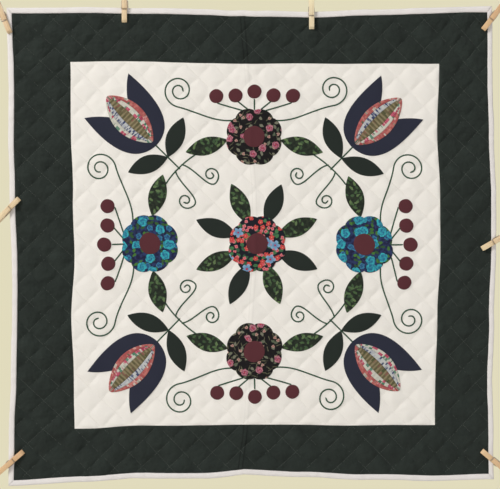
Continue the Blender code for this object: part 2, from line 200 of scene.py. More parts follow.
# The cotton's weave. Every cloth here is plain cotton, so each material is a dull surface
# with a fine over-and-under weave, thicker threads here and there, and a soft mottle in its
# dye, which on the dark green is strong and partly painted shade and sheen of soft creases.
# Patterns are in millimetres on the flat cloth.
def add_node(tree, kind, inputs=None, **settings):
    """A shader node whose sockets take numbers, colours or other nodes' sockets."""
    node = tree.nodes.new("ShaderNode" + kind)
    for name, value in settings.items():
        setattr(node, name, value)
    for socket, value in (inputs or {}).items():
        if isinstance(value, bpy.types.NodeSocket):
            tree.links.new(value, node.inputs[socket])
        else:
            node.inputs[socket].default_value = value
    return node


def maths(tree, operation, *values):
    node = add_node(tree, "Math", dict(enumerate(values)), operation=operation)
    return node.outputs[0]


def mixed(tree, amount, under, over):
    """A colour blend from under to over."""
    under, over = (tuple(c) + (1.0,) if isinstance(c, tuple) else c for c in (under, over))
    node = add_node(tree, "Mix", {0: amount, 6: under, 7: over}, data_type="RGBA")
    return node.outputs[2]


def ramped(tree, value, low, high):
    """0 below low and 1 above high, smooth in between."""
    node = add_node(tree, "MapRange", {0: value, 1: low, 2: high}, interpolation_type="SMOOTHSTEP")
    return node.outputs[0]


def cloth_place(tree, turn=0.0, slide=(0.0, 0.0)):
    """The place on the flat cloth in millimetres, turned and slid as the piece was cut."""
    flat = add_node(tree, "UVMap", uv_map="cloth")
    placed = add_node(tree, "Mapping", {
        "Vector": flat.outputs[0], "Location": (*slide, 0.0),
        "Rotation": (0.0, 0.0, turn), "Scale": (1000.0, 1000.0, 1000.0),
    })
    return placed.outputs[0]


def new_cotton(name, roughness=0.92, sheen=0.06):
    """An empty cotton material: its node tree and its surface."""
    material = bpy.data.materials.new(name)
    material.use_nodes = True
    tree = material.node_tree
    surface = tree.nodes["Principled BSDF"]
    surface.inputs["Roughness"].default_value = roughness
    surface.inputs["Specular IOR Level"].default_value = 0.2
    surface.inputs["Sheen Weight"].default_value = sheen
    surface.inputs["Sheen Roughness"].default_value = 0.5
    return material, tree, surface


def pressed_lines(tree, across, up):
    """1 on the two lines along the edges of the storage fold's pleat, 0 beyond: where the colour is given painted
    shade.
    """
    bow = maths(tree, "POWER", maths(tree, "MULTIPLY_ADD", up, 1 / 330, -CREASE_HEIGHT / 330), 2.0)
    beyond = maths(tree, "MULTIPLY_ADD", bow, CREASE_BOW, maths(tree, "SUBTRACT", across, CREASE_PLACE))
    from_line = maths(tree, "ABSOLUTE", maths(tree, "SUBTRACT", maths(tree, "ABSOLUTE", beyond), 3.4))
    return ramped(tree, from_line, 1.9, 0.3)


def woven(tree, surface, place, colour, thread=0.55, cast=0.06, crumple=0.0, pressed=0.0):
    """Finishes a cotton: the colour with its mottle, which is dye and, where strong, also painted shade and sheen;
    painted shade along the storage fold's pleat where asked; and a bump of sines for the weave.
    """
    split = add_node(tree, "SeparateXYZ", {0: place})
    warp = maths(tree, "SINE", maths(tree, "MULTIPLY", split.outputs[0], 2 * np.pi / thread))
    weft = maths(tree, "SINE", maths(tree, "MULTIPLY", split.outputs[1], 2 * np.pi / thread))
    weave = maths(tree, "MULTIPLY", warp, weft)
    slub = add_node(tree, "TexNoise", {"Vector": place, "Scale": 0.7, "Detail": 3.0})
    dye = add_node(tree, "TexNoise", {"Vector": place, "Scale": 0.03, "Detail": 4.0})
    # The colour mottles by two noises. On most cottons this is a cast in the dye; the dark green's strong mottle is
    # partly painted shade and sheen of soft creases and puffs.
    light = maths(tree, "MULTIPLY_ADD", dye.outputs[0], 2 * cast, 1 - cast)
    grain = maths(tree, "MULTIPLY_ADD", slub.outputs[0], 2 * cast, 1 - cast)
    shade = maths(tree, "MULTIPLY", light, grain)
    weave_shade = maths(tree, "MULTIPLY_ADD", weave, 0.05, 0.97)
    shade = maths(tree, "MULTIPLY", shade, weave_shade)
    # Painted shade: the colour darkens along both edges of the storage fold's pleat, where the cloth would fall into
    # shadow.
    if pressed:
        lines = pressed_lines(tree, split.outputs[0], split.outputs[1])
        shade = maths(tree, "MULTIPLY", shade, maths(tree, "MULTIPLY_ADD", lines, -pressed, 1.0))
    dyed = add_node(tree, "VectorMath", {0: colour, 3: shade}, operation="SCALE")
    tree.links.new(dyed.outputs[0], surface.inputs["Base Color"])
    height = maths(tree, "MULTIPLY_ADD", weave, 0.06, maths(tree, "MULTIPLY", slub.outputs[0], 0.25))
    if crumple:
        soft = add_node(tree, "TexNoise", {"Vector": place, "Scale": 0.09, "Detail": 5.0})
        height = maths(tree, "MULTIPLY_ADD", soft.outputs[0], crumple, height)
    bump = add_node(tree, "Bump", {"Strength": 1.0, "Distance": MM, "Height": height})
    tree.links.new(bump.outputs[0], surface.inputs["Normal"])


def plain_cotton(name, colour, **finish):
    material, tree, surface = new_cotton(name)
    woven(tree, surface, cloth_place(tree), colour, **finish)
    return material


# The quilting. Lines of running stitch cross the cloth both ways at 45 degrees, and the
# wadding puffs up in each diamond between them. Under a sewn-on motif no line is stitched,
# so the cloth stays full there.
CELL_ACROSS = PANEL_HALF / 13
CELL_UP = (PANEL_TOP - PANEL_MIDDLE) / 13
CELL_STEPS = 8
STITCHED_THICKNESS, PUFF_RISE, BORDER_PUFF, BACK_PUFF, PUCKER = 2.2, 2.1, 4.2, 1.0, 0.24


def puff(across, up):
    """0 on a line of stitches and 1 in a diamond's middle: the product of two rounded
    rises, one from each family of lines, fuller in some diamonds and puckered by a noise."""
    column, row = across / CELL_ACROSS, (up - PANEL_MIDDLE) / CELL_UP
    from_falling = abs((column + row + 1) % 2 - 1)
    from_rising = abs((column - row + 1) % 2 - 1)
    rounded = (1 - (1 - from_falling) ** 2.6) * (1 - (1 - from_rising) ** 2.6)
    filling = np.random.default_rng(8).uniform(0.72, 1.1, (64, 64))
    stuffed = filling[np.floor((column + row) / 2).astype(int) % 64, np.floor((column - row) / 2).astype(int) % 64]
    return rounded * stuffed * (1 + PUCKER * soft_noise(across, up, 9, 7, 11))


def ditch(across, up):
    """1 on most of the cloth, falling to 0.25 along the panel's seams and the binding."""
    beside = abs(across) - PANEL_HALF
    above = abs(up - PANEL_MIDDLE) - (PANEL_TOP - PANEL_MIDDLE)
    outward = np.hypot(np.maximum(beside, 0), np.maximum(above, 0))
    to_panel = np.where(outward > 0, outward, -np.maximum(beside, above))
    to_rim = np.minimum(FIELD_HALF - abs(across), np.minimum(up - FIELD_BOTTOM, FIELD_TOP - up))
    return 0.25 + 0.75 * np.sqrt(np.clip(np.minimum(to_panel, to_rim) / 5, 0, 1))


def fine_lines(low, high, cell, middle):
    """Eight places to a cell of the crosshatch between low and high, and both ends."""
    step = cell / CELL_STEPS
    first, last = np.ceil((low - middle) / step + 0.3), np.floor((high - middle) / step - 0.3)
    return np.concatenate(([low], middle + np.arange(first, last + 1) * step, [high]))


def quilted_strip(name, node, slot, material, left, right, bottom, top, full, fullness=None):
    """A closed sheet on the fine lines: its front and back rise by the puff. Each small
    square is split along the diagonal that the stitches near it follow."""
    across, up = np.meshgrid(
        fine_lines(left, right, CELL_ACROSS, 0.0), fine_lines(bottom, top, CELL_UP, PANEL_MIDDLE)
    )
    rise = puff(across, up) * ditch(across, up)
    if fullness is not None:
        rise = rise + (0.95 - rise) * fullness(across, up)
    front = hung(across, up, STITCHED_THICKNESS + full * rise)
    back = hung(across, up, -BACK_PUFF * rise)
    rows, columns = across.shape
    place = np.arange(rows * columns).reshape(rows, columns)
    a, b, c, d = place[:-1, :-1], place[:-1, 1:], place[1:, 1:], place[1:, :-1]
    column = np.floor((across[:-1, :-1] + across[1:, 1:]) / 2 / CELL_ACROSS)
    row = np.floor(((up[:-1, :-1] + up[1:, 1:]) / 2 - PANEL_MIDDLE) / CELL_UP)
    rising = ((column + row) % 2 == 0)[..., None, None]
    split_rising = np.stack((np.stack((a, b, c), -1), np.stack((a, c, d), -1)), -2)
    split_falling = np.stack((np.stack((a, b, d), -1), np.stack((b, c, d), -1)), -2)
    sheet = np.where(rising, split_rising, split_falling).reshape(-1, 3)
    rim = np.concatenate((place[0], place[1:, -1], place[-1, -2::-1], place[-2:0:-1, 0]))
    following = np.roll(rim, -1)
    behind = rows * columns
    wall = np.concatenate((
        np.stack((rim, rim + behind, following), -1),
        np.stack((following, rim + behind, following + behind), -1),
    ))
    faces = np.concatenate((sheet, sheet[:, ::-1] + behind, wall))
    flat = np.stack((across, up), -1).reshape(-1, 2)
    points = np.concatenate((front.reshape(-1, 3), back.reshape(-1, 3)))
    index = np.repeat((0, 1, 0), (len(sheet), len(sheet), len(wall)))
    piece = add_piece(name, points, faces, np.concatenate((flat, flat)), [material, backing_cotton], index)
    piece.data.set_sharp_from_angle(angle=np.radians(50))
    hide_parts(node)
    return piece


# The medallion's shapes. Leaves are pointed ovals, roses are discs with eight lobes, and a
# tulip has two outer petals with a pointed cup between them. Each shape is a rim and the
# inner line that its rim's points face.
ROSE_RADIUS, ROSE_LOBES, ROSE_SCALLOP, HEART_RADIUS = 51.0, 8, 0.09, 19.0
LEAF_LENGTH, LEAF_WIDTH = 76.0, 31.0
CENTRE_LEAF_START, WREATH_RADIUS, WREATH_LEAF_TURN = 38.0, 188.0, 14.5
TULIP_START, TULIP_HEIGHT, TULIP_SPREAD = 242.0, 122.0, 54.0
CUP_LENGTH, CUP_WIDTH = 112.0, 56.0
STEM_LEAF_START, STEM_LEAF_SPREAD = 214.0, 66.0
BERRY_RADIUS, BERRY_ARC, BERRY_STEP = 12.4, 268.0, 7.2


def polar(radius, turn):
    """Places at a distance and a turn in degrees round the panel's middle."""
    angle = np.radians(turn)
    return np.stack((radius * np.cos(angle), PANEL_MIDDLE + radius * np.sin(angle)), -1)


def turned(shape, origin, turn):
    """A rim and inner line drawn pointing up, turned to point the given way from an origin."""
    angle = np.radians(turn - 90)
    spin = np.array(((np.cos(angle), np.sin(angle)), (-np.sin(angle), np.cos(angle))))
    return [line @ spin + origin for line in shape]


def leaf(length=LEAF_LENGTH, width=LEAF_WIDTH, shape=0.85, steps=34):
    """Half a width times a power of a sine up one side and down the other, round a midrib."""
    along = (1 - np.cos(np.linspace(0, np.pi, steps))) / 2
    side = width / 2 * np.sin(np.pi * along) ** shape
    right = np.stack((side, along * length), -1)
    rim = np.concatenate((right, right[-2:0:-1] * (-1, 1)))
    midrib = np.stack((0 * rim[:, 0], np.clip(rim[:, 1], 0.1 * length, 0.9 * length)), -1)
    return rim, midrib


def rose(seed, steps=160):
    """A circle whose radius swells by a power of a sine in each lobe, cut a bit unevenly."""
    angle = np.linspace(0, 2 * np.pi, steps, endpoint=False)
    swell = abs(np.sin(angle * ROSE_LOBES / 2)) ** 0.7
    cut = np.random.default_rng(seed).uniform(-1, 1, ROSE_LOBES)[
        (angle / (2 * np.pi) * ROSE_LOBES).astype(int)]
    radius = ROSE_RADIUS * (1 - ROSE_SCALLOP * (1 - swell) + 0.018 * cut * swell)
    rim = np.stack((radius * np.cos(angle), radius * np.sin(angle)), -1)
    return rim, rim * 0


def disc(radius, steps=56):
    """A circle cut by hand: its radius strays by two slow sines."""
    angle = np.linspace(0, 2 * np.pi, steps, endpoint=False)
    reach = radius * (1 + 0.012 * np.sin(2 * angle + radius) + 0.01 * np.sin(5 * angle))
    rim = np.stack((reach * np.cos(angle), reach * np.sin(angle)), -1)
    return rim, rim * 0


def bend(start, control, end, steps=20):
    """A quadratic curve from start to end that leans towards a control point."""
    t = np.linspace(0, 1, steps, endpoint=False)[:, None]
    return (1 - t) ** 2 * np.array(start) + 2 * t * (1 - t) * np.array(control) + t * t * np.array(end)


def tulip():
    """Outer curve, tip and notch curve of two joined petals, round the line between them."""
    notch, tip = (0.0, TULIP_HEIGHT * 0.42), (TULIP_SPREAD, TULIP_HEIGHT)
    outer = bend((0, 0), (TULIP_SPREAD * 1.25, TULIP_HEIGHT * 0.02), tip, 28)
    inner = bend(tip, (TULIP_SPREAD * 0.38, TULIP_HEIGHT * 0.82), notch, 28)
    right = np.concatenate((outer, inner))
    rim = np.concatenate((right, [notch], right[:0:-1] * (-1, 1)))
    middle = (outer[::-1] + np.concatenate((inner[1:], [notch]))) / 2
    spine = np.concatenate((middle[::-1], middle, [middle[-1] * (0, 1)], ))
    spine = np.concatenate((spine, spine[len(right) - 1:0:-1] * (-1, 1)))
    return rim, spine


LEAF_SHAPE, HEART_SHAPE = leaf(), disc(HEART_RADIUS)
low_leaves, roses, hearts, tulips, cups, berries = {}, {}, {}, {}, {}, {}
for number in range(8):
    turn = 22.5 + 45 * number
    low_leaves[f"centre_leaf_{number + 1}"] = turned(LEAF_SHAPE, polar(CENTRE_LEAF_START, turn), turn)
for number, (radius, turn) in enumerate([(0, 90)] + [(WREATH_RADIUS, 90 * k) for k in range(4)]):
    name = f"wreath_rose_{number}" if number else "centre_rose"
    roses[name] = turned(rose(number), polar(radius, turn), turn)
    hearts[name] = turned(HEART_SHAPE, polar(radius, turn), turn)
for number in range(4):
    turn = 90 * number
    for side, lean in (("a", 1), ("b", -1)):
        start = polar(WREATH_RADIUS, turn + lean * WREATH_LEAF_TURN)
        heading = turn + lean * (90 + WREATH_LEAF_TURN * 1.1)
        low_leaves[f"wreath_leaf_{number + 1}{side}"] = turned(LEAF_SHAPE, start, heading)
    for step in range(-2, 3):
        spot = polar(BERRY_ARC - 5 * (step % 2), turn + step * BERRY_STEP)
        berries[f"berry_{number + 1}{'edcab'[step]}"] = turned(disc(BERRY_RADIUS, 40), spot, turn)
    turn += 45
    tulips[f"tulip_petals_{number + 1}"] = turned(tulip(), polar(TULIP_START, turn), turn)
    cups[f"tulip_cup_{number + 1}"] = (polar(TULIP_START + 8, turn), turn)
    for side, lean in (("a", 1), ("b", -1)):
        low_leaves[f"stem_leaf_{number + 1}{side}"] = turned(
            LEAF_SHAPE, polar(STEM_LEAF_START, turn), turn + lean * STEM_LEAF_SPREAD)
cup_shapes = {name: turned(leaf(CUP_LENGTH, CUP_WIDTH, 0.7), *place) for name, place in cups.items()}


# How high the panel stands under the motifs. A field holds a height for each crossing of
# the panel's fine lines, and each layer of motifs adds its thickness to the one before.
SHEET_RISE = 1.15
panel_across, panel_up = np.meshgrid(
    np.linspace(-PANEL_HALF, PANEL_HALF, 26 * CELL_STEPS + 1),
    np.linspace(PANEL_BOTTOM, PANEL_TOP, 26 * CELL_STEPS + 1),
)


def inside(rim, across, up):
    """True where a place lies within a closed rim: a ray from it crosses an odd number of sides."""
    within = np.zeros(across.shape, bool)
    for (x0, y0), (x1, y1) in zip(rim, np.roll(rim, -1, axis=0)):
        if y0 != y1:
            crosses = (up < y0) != (up < y1)
            within ^= crosses & (across < x0 + (up - y0) * (x1 - x0) / (y1 - y0))
    return within


def covered(shapes, margin):
    """1 under any of the shapes grown by a margin, softened over two steps of the grid."""
    cover = np.zeros(panel_across.shape)
    for rim, spine in shapes:
        away = rim - rim.mean(axis=0)
        grown = rim + away * (margin / np.hypot(*away.T))[:, None]
        low, high = grown.min(axis=0) - 4, grown.max(axis=0) + 4
        columns = np.searchsorted(panel_across[0], (low[0], high[0]))
        rows = np.searchsorted(panel_up[:, 0], (low[1], high[1]))
        window = (slice(*rows), slice(*columns))
        hit = inside(grown, panel_across[window], panel_up[window])
        cover[window] = np.maximum(cover[window], hit)
    for _ in range(2):
        padded = np.pad(cover, 1, mode="edge")
        cover = sum(padded[1 + i:padded.shape[0] - 1 + i, 1 + j:padded.shape[1] - 1 + j]
                    for i in (-1, 0, 1) for j in (-1, 0, 1)) / 9
    return cover


def read_field(field, across, up):
    """A field's value at any place on the panel, blended between its four nearest points."""
    steps = 26 * CELL_STEPS
    column = np.clip((across + PANEL_HALF) / (2 * PANEL_HALF) * steps, 0, steps - 1e-6)
    row = np.clip((up - PANEL_BOTTOM) / (PANEL_TOP - PANEL_BOTTOM) * steps, 0, steps - 1e-6)
    i, j = column.astype(int), row.astype(int)
    s, t = column - i, row - j
    low = field[j, i] * (1 - s) + field[j, i + 1] * s
    high = field[j + 1, i] * (1 - s) + field[j + 1, i + 1] * s
    return low * (1 - t) + high * t


ground_shapes = [*low_leaves.values(), *tulips.values()]
upper_shapes = [*roses.values(), *cup_shapes.values()]
fullness = covered([*ground_shapes, *upper_shapes, *berries.values()], 2.0)
bare_rise = puff(panel_across, panel_up)
bare_rise = bare_rise + (0.95 - bare_rise) * fullness
ground_field = STITCHED_THICKNESS + PUFF_RISE * bare_rise
upper_field = ground_field + SHEET_RISE * covered(ground_shapes, 1.5)
heart_field = upper_field + SHEET_RISE * covered(upper_shapes, 1.5)


# The quilt's five cloths: a warm white panel and four dark green strips of dense cotton,
# sewn edge to edge and quilted as one. The side strips run the full height.
# The white and the dark green are darkened along the storage fold's pleat: painted shade, strongest on the green.
white_cotton = plain_cotton("white_cotton", (0.885, 0.86, 0.815), cast=0.02, crumple=0.6, pressed=0.05)
# The dark green's strong mottle is partly its dye and partly painted shade and sheen of soft creases and puffs.
green_cotton = plain_cotton(
    "dark_green_cotton", (0.0196, 0.0266, 0.0232), cast=0.46, crumple=4.5, pressed=0.45)
backing_cotton = plain_cotton("backing_cotton", (0.72, 0.68, 0.59), cast=0.03, crumple=0.5)
SEAM = 0.02
panel = quilted_strip(
    "quilted_panel", "centre_panel", "panel_white", white_cotton,
    SEAM - PANEL_HALF, PANEL_HALF - SEAM, PANEL_BOTTOM + SEAM, PANEL_TOP - SEAM, PUFF_RISE,
    fullness=lambda across, up: read_field(fullness, across, up),
)
border_places = {
    "border_left": (-FIELD_HALF, -PANEL_HALF - SEAM, FIELD_BOTTOM, FIELD_TOP),
    "border_right": (PANEL_HALF + SEAM, FIELD_HALF, FIELD_BOTTOM, FIELD_TOP),
    "border_top": (SEAM - PANEL_HALF, PANEL_HALF - SEAM, PANEL_TOP + SEAM, FIELD_TOP),
    "border_bottom": (SEAM - PANEL_HALF, PANEL_HALF - SEAM, FIELD_BOTTOM, PANEL_BOTTOM - SEAM),
}
for node, place in border_places.items():
    quilted_strip(
        "quilted_" + node, node, "border_green", green_cotton, *place, BORDER_PUFF)


# The running stitches of the quilting: short cotton threads that rise out of each line and
# dive back in. White ones sink into the panel, and pale ones show on the green.
STITCH_LENGTH, STITCH_PITCH = 2.2, 3.5


def thread_stitches(name, starts, ends, width, rise, material):
    """One slim lozenge of thread from each start to its end, fattest at half its length."""
    starts, ends = np.asarray(starts), np.asarray(ends)
    along = ends - starts
    side = np.cross(along, (0.0, 1.0, 0.0))
    side = side / np.linalg.norm(side, axis=1, keepdims=True) * width / 2 * MM
    lift = np.array((0.0, -rise * MM, 0.0))
    middle = (starts + ends) / 2
    near, far = middle - along * 0.28, middle + along * 0.28
    corners = [starts]
    for centre in (near, far):
        corners += [centre + side, centre + lift, centre - side, centre - lift * 0.4]
    corners.append(ends)
    points = np.stack(corners, axis=1).reshape(-1, 3)
    template = []
    for k in range(4):
        following = (k + 1) % 4
        template += [(0, 1 + following, 1 + k), (9, 5 + k, 5 + following)]
        template += [(1 + k, 1 + following, 5 + following), (1 + k, 5 + following, 5 + k)]
    faces = np.array(template)[None] + np.arange(len(starts))[:, None, None] * 10
    flat = points[:, (0, 2)] / MM
    piece = add_piece(name, points, faces.reshape(-1, 3), flat, [material])
    return piece


def quilting_ends(left, right, bottom, top, family, skip=None):
    """Both ends of each running stitch in one family of lines, within a strip.

    A line keeps the sum, or for the rising family the difference, of its cell numbers.
    """
    step = np.hypot(CELL_ACROSS, CELL_UP)
    tick = np.arange(-17.5, 17.5, STITCH_PITCH / step)
    number = np.arange(-36, 37, 2)[:, None]
    random = np.random.default_rng(20 + family)
    column = tick[None] + random.uniform(0, STITCH_PITCH / step, number.shape)
    column = column + random.normal(0, 0.12 / step, column.shape)
    length = STITCH_LENGTH * random.uniform(0.75, 1.2, column.shape) / step
    ends = []
    for reach in (-length / 2, length / 2):
        across = (column + reach) * CELL_ACROSS
        up = PANEL_MIDDLE + family * (number - (column + reach)) * CELL_UP
        ends.append((across, up))
    (a0, u0), (a1, u1) = ends
    keep = (np.minimum(a0, a1) > left + 2) & (np.maximum(a0, a1) < right - 2)
    keep &= (np.minimum(u0, u1) > bottom + 2) & (np.maximum(u0, u1) < top - 2)
    worn = soft_noise(a0, u0, 6, 7, 30 + family) + 0.8 * soft_noise(a0, u0, 48, 41, 40 + family)
    keep &= worn < 0.3
    if skip is not None:
        keep &= ~skip(a0, u0) & ~skip(a1, u1)
    height = STITCHED_THICKNESS + 0.1
    return hung(a0[keep], u0[keep], height), hung(a1[keep], u1[keep], height)


def under_motif(across, up):
    return read_field(fullness, across, up) > 0.3


white_thread = plain_cotton("white_quilting_thread", (0.74, 0.71, 0.65), thread=0.3)
pale_thread = plain_cotton("pale_quilting_thread", (0.118, 0.138, 0.122), thread=0.3)
panel_ends = [quilting_ends(-PANEL_HALF, PANEL_HALF, PANEL_BOTTOM, PANEL_TOP, family, under_motif)
              for family in (1, -1)]
panel_stitches = thread_stitches(
    "panel_quilting_stitches", np.concatenate([ends[0] for ends in panel_ends]),
    np.concatenate([ends[1] for ends in panel_ends]), 0.5, 0.3, white_thread,
)
for node, place in border_places.items():
    strip_ends = [quilting_ends(*place, family) for family in (1, -1)]
    thread_stitches(
        node + "_quilting_stitches", np.concatenate([ends[0] for ends in strip_ends]),
        np.concatenate([ends[1] for ends in strip_ends]), 0.6, 0.3, pale_thread,
    )


# The binding: a narrow strip of white cotton folded over the quilt's edge, sewn through the
# front and mitred at the corners. It puckers a little between its stitches.
# Columns: distance out from the border's edge, height
BINDING_SECTION = np.array([
    (-0.9, 3.6), (-0.7, 4.5), (0.2, 5.0), (2.2, 5.15), (4.8, 5.15), (7.2, 4.95), (8.7, 4.4),
    (9.4, 3.4), (9.5, 2.0), (8.9, 0.7), (7.4, -0.2), (4.5, -0.7), (1.0, -0.8), (-0.6, -0.6),
    (-0.9, 0.4),
])


def binding_strip(name, edge, low, high, upright, direction, widths):
    """The section carried along an edge, each end slanted so that two strips meet at 45
    degrees, with a slow change in width and a quick pucker in height. The widths are shares
    of the section's: the strip's own, and those of the strips that it meets at its ends."""
    own, at_low, at_high = widths
    along = np.linspace(low, high, int((high - low) / 3))[:, None]
    out, height = BINDING_SECTION[:, 0], BINDING_SECTION[:, 1]
    share = (along - low) / (high - low)
    place = along + np.maximum(out, 0) * (at_high * np.clip((share - 0.97) / 0.03, 0, 1)
                                          - at_low * np.clip((0.03 - share) / 0.03, 0, 1))
    outward = out * own * (1 + 0.05 * soft_noise(along, 0 * along + edge, 24, 1, 9)) + 0 * along
    seed = int(abs(edge)) + direction
    pucker = 0.25 * soft_noise(along, 0 * along, 7, 1, seed) + 0.3 * soft_noise(along, 0 * along, 31, 1, seed + 1)
    forward = height + pucker * np.clip((height - 3) / 2, 0, 1)
    beside = edge + direction * outward
    across, up = (beside, place) if upright else (place, beside)
    points = hung(across, up, forward)
    rows, columns = across.shape
    index = np.arange(rows * columns).reshape(rows, columns)
    after = np.roll(index, -1, axis=1)
    sides = np.stack((index[:-1], after[:-1], after[1:], index[1:]), -1).reshape(-1, 4)
    centres = np.concatenate((points[0].mean(axis=0)[None], points[-1].mean(axis=0)[None]))
    count = rows * columns
    first = np.stack((after[0], index[0], 0 * index[0] + count, 0 * index[0] + count), -1)
    last = np.stack((index[-1], after[-1], 0 * index[0] + count + 1, 0 * index[0] + count + 1), -1)
    flat = np.stack((across, up + height * 2), -1).reshape(-1, 2)
    flat = np.concatenate((flat, flat[:1], flat[-1:]))
    points = np.concatenate((points.reshape(-1, 3), centres))
    walls = np.concatenate((sides[:, (0, 1, 2)], sides[:, (0, 2, 3)], first[:, :3], last[:, :3]))
    piece = tidied(add_piece(name, points, walls, flat, [binding_cotton]))
    return piece


binding_cotton = plain_cotton("binding_cotton", (0.82, 0.79, 0.78), cast=0.03, crumple=0.35)
bindings = []
LEFT_WIDTH, RIGHT_WIDTH, BOTTOM_WIDTH, TOP_WIDTH = 0.93, 0.84, 0.92, 1.0
for node, edge, low, high, upright, direction, widths in (
    ("binding_left", -FIELD_HALF, FIELD_BOTTOM, FIELD_TOP, True, -1,
     (LEFT_WIDTH, BOTTOM_WIDTH, TOP_WIDTH)),
    ("binding_right", FIELD_HALF, FIELD_BOTTOM, FIELD_TOP, True, 1,
     (RIGHT_WIDTH, BOTTOM_WIDTH, TOP_WIDTH)),
    ("binding_bottom", FIELD_BOTTOM, -FIELD_HALF, FIELD_HALF, False, -1,
     (BOTTOM_WIDTH, LEFT_WIDTH, RIGHT_WIDTH)),
    ("binding_top", FIELD_TOP, -FIELD_HALF, FIELD_HALF, False, 1,
     (TOP_WIDTH, LEFT_WIDTH, RIGHT_WIDTH)),
):
    strip = binding_strip("folded_" + node, edge, low, high, upright, direction, widths)
    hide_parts(node)
    bindings.append(strip)


# The printed cottons of the roses and leaves: small all-over flower and leaf prints on dark
# grounds. A print is a plain or blotched ground with layers of motifs over it, each layer
# strewn at random: leaves, round buds, rolled roses and open five-petalled flowers.
def strewn(tree, place, spacing, shift):
    """Random spots a spacing apart. Gives the way from a place's nearest spot, turned at
    random for each spot, in millimetres across and along, and two numbers of that spot."""
    slid = add_node(tree, "Mapping", {
        "Vector": place, "Location": (shift, shift * 0.7, 0.0), "Scale": (1 / spacing,) * 3})
    spots = add_node(tree, "TexVoronoi", {"Vector": slid.outputs[0], "Scale": 1.0, "Randomness": 0.85},
                     voronoi_dimensions="2D", feature="F1")
    away = add_node(tree, "VectorMath", {0: slid.outputs[0], 1: spots.outputs["Position"]},
                    operation="SUBTRACT")
    random = add_node(tree, "SeparateColor", {0: spots.outputs["Color"]})
    turned_away = add_node(tree, "VectorRotate", {
        "Vector": away.outputs[0], "Angle": maths(tree, "MULTIPLY", random.outputs[0], 6.28),
    }, rotation_type="Z_AXIS")
    split = add_node(tree, "SeparateXYZ", {0: turned_away.outputs[0]})
    across = maths(tree, "MULTIPLY", split.outputs[0], spacing)
    along = maths(tree, "MULTIPLY", split.outputs[1], spacing)
    return across, along, random.outputs[1], random.outputs[2]


def leaf_layer(tree, place, under, spacing, length, width, share, fresh, dull, shift):
    """Pointed leaves: within half a width times one minus the square of the share of half
    the length, with a pale line along the middle."""
    across, along, random, other = strewn(tree, place, spacing, shift)
    share_along = maths(tree, "MULTIPLY", along, 2 / length)
    half = maths(tree, "MULTIPLY_ADD", maths(tree, "POWER", maths(tree, "ABSOLUTE", share_along), 2.0),
                 -width / 2, width / 2)
    within = maths(tree, "SUBTRACT", half, maths(tree, "ABSOLUTE", across))
    colour = mixed(tree, ramped(tree, other, 0.25, 0.75), fresh, dull)
    vein = ramped(tree, maths(tree, "ABSOLUTE", across), 0.45, 0.15)
    colour = mixed(tree, maths(tree, "MULTIPLY", vein, 0.5), colour, dull)
    shown = maths(tree, "LESS_THAN", random, share)
    return mixed(tree, maths(tree, "MULTIPLY", ramped(tree, within, -0.2, 0.35), shown), under, colour)


def flower_layer(tree, place, under, spacing, radius, share, petals, depth, rolled, light, dark, heart, shift):
    """Flowers: within a radius cut back between the petals by a cosine. A rolled flower has
    light and dark arcs that wind inwards, and each has a small heart."""
    across, along, random, other = strewn(tree, place, spacing, shift)
    distance = maths(tree, "SQRT", maths(tree, "MULTIPLY_ADD", across, across,
                                         maths(tree, "MULTIPLY", along, along)))
    angle = maths(tree, "ARCTAN2", along, across)
    wave = maths(tree, "ABSOLUTE", maths(tree, "COSINE", maths(tree, "MULTIPLY", angle, petals / 2)))
    rim = maths(tree, "MULTIPLY_ADD", wave, depth * radius, (1 - depth) * radius)
    within = maths(tree, "SUBTRACT", rim, distance)
    crumpled = add_node(tree, "TexNoise", {"Vector": place, "Scale": 0.3, "Detail": 2.0}).outputs[0]
    petal_turn = maths(tree, "MULTIPLY_ADD", crumpled, 9.0, maths(tree, "MULTIPLY", angle, 2.0))
    winding = maths(tree, "MULTIPLY_ADD", distance, 9.0 / radius, petal_turn)
    arcs = ramped(tree, maths(tree, "SINE", winding), -0.6, 0.6)
    outer = ramped(tree, maths(tree, "DIVIDE", distance, radius), 0.15, 1.0)
    tone = maths(tree, "MULTIPLY_ADD", arcs, rolled, maths(tree, "MULTIPLY", outer, 1 - rolled))
    colour = mixed(tree, tone, dark, light)
    colour = mixed(tree, ramped(tree, distance, 0.26 * radius, 0.14 * radius), colour, heart)
    shown = maths(tree, "LESS_THAN", random, share)
    return mixed(tree, maths(tree, "MULTIPLY", ramped(tree, within, -0.2, 0.35), shown), under, colour)


def start_print(name, ground, blotch, turn=0.0, slide=0.0):
    """A print's material with its ground: two close colours in soft blotches. The place is
    nudged by a noise so that no motif's edge is quite true, like a hand-drawn one."""
    material, tree, surface = new_cotton(name)
    place = cloth_place(tree, turn=turn, slide=(slide, 0.0))
    nudge = add_node(tree, "TexNoise", {"Vector": place, "Scale": 0.33, "Detail": 2.0})
    centred = add_node(tree, "VectorMath", {0: nudge.outputs["Color"], 1: (0.5, 0.5, 0.5)},
                       operation="SUBTRACT")
    shaken = add_node(tree, "VectorMath", {0: centred.outputs[0], 3: 3.4}, operation="SCALE")
    drawn = add_node(tree, "VectorMath", {0: place, 1: shaken.outputs[0]}, operation="ADD").outputs[0]
    blotches = add_node(tree, "TexNoise", {"Vector": place, "Scale": 0.16, "Detail": 3.0})
    return material, tree, surface, drawn, mixed(tree, ramped(tree, blotches.outputs[0], 0.42, 0.62), ground, blotch)


def finish_print(material, tree, surface, place, colour):
    woven(tree, surface, place, colour, cast=0.05)
    return material


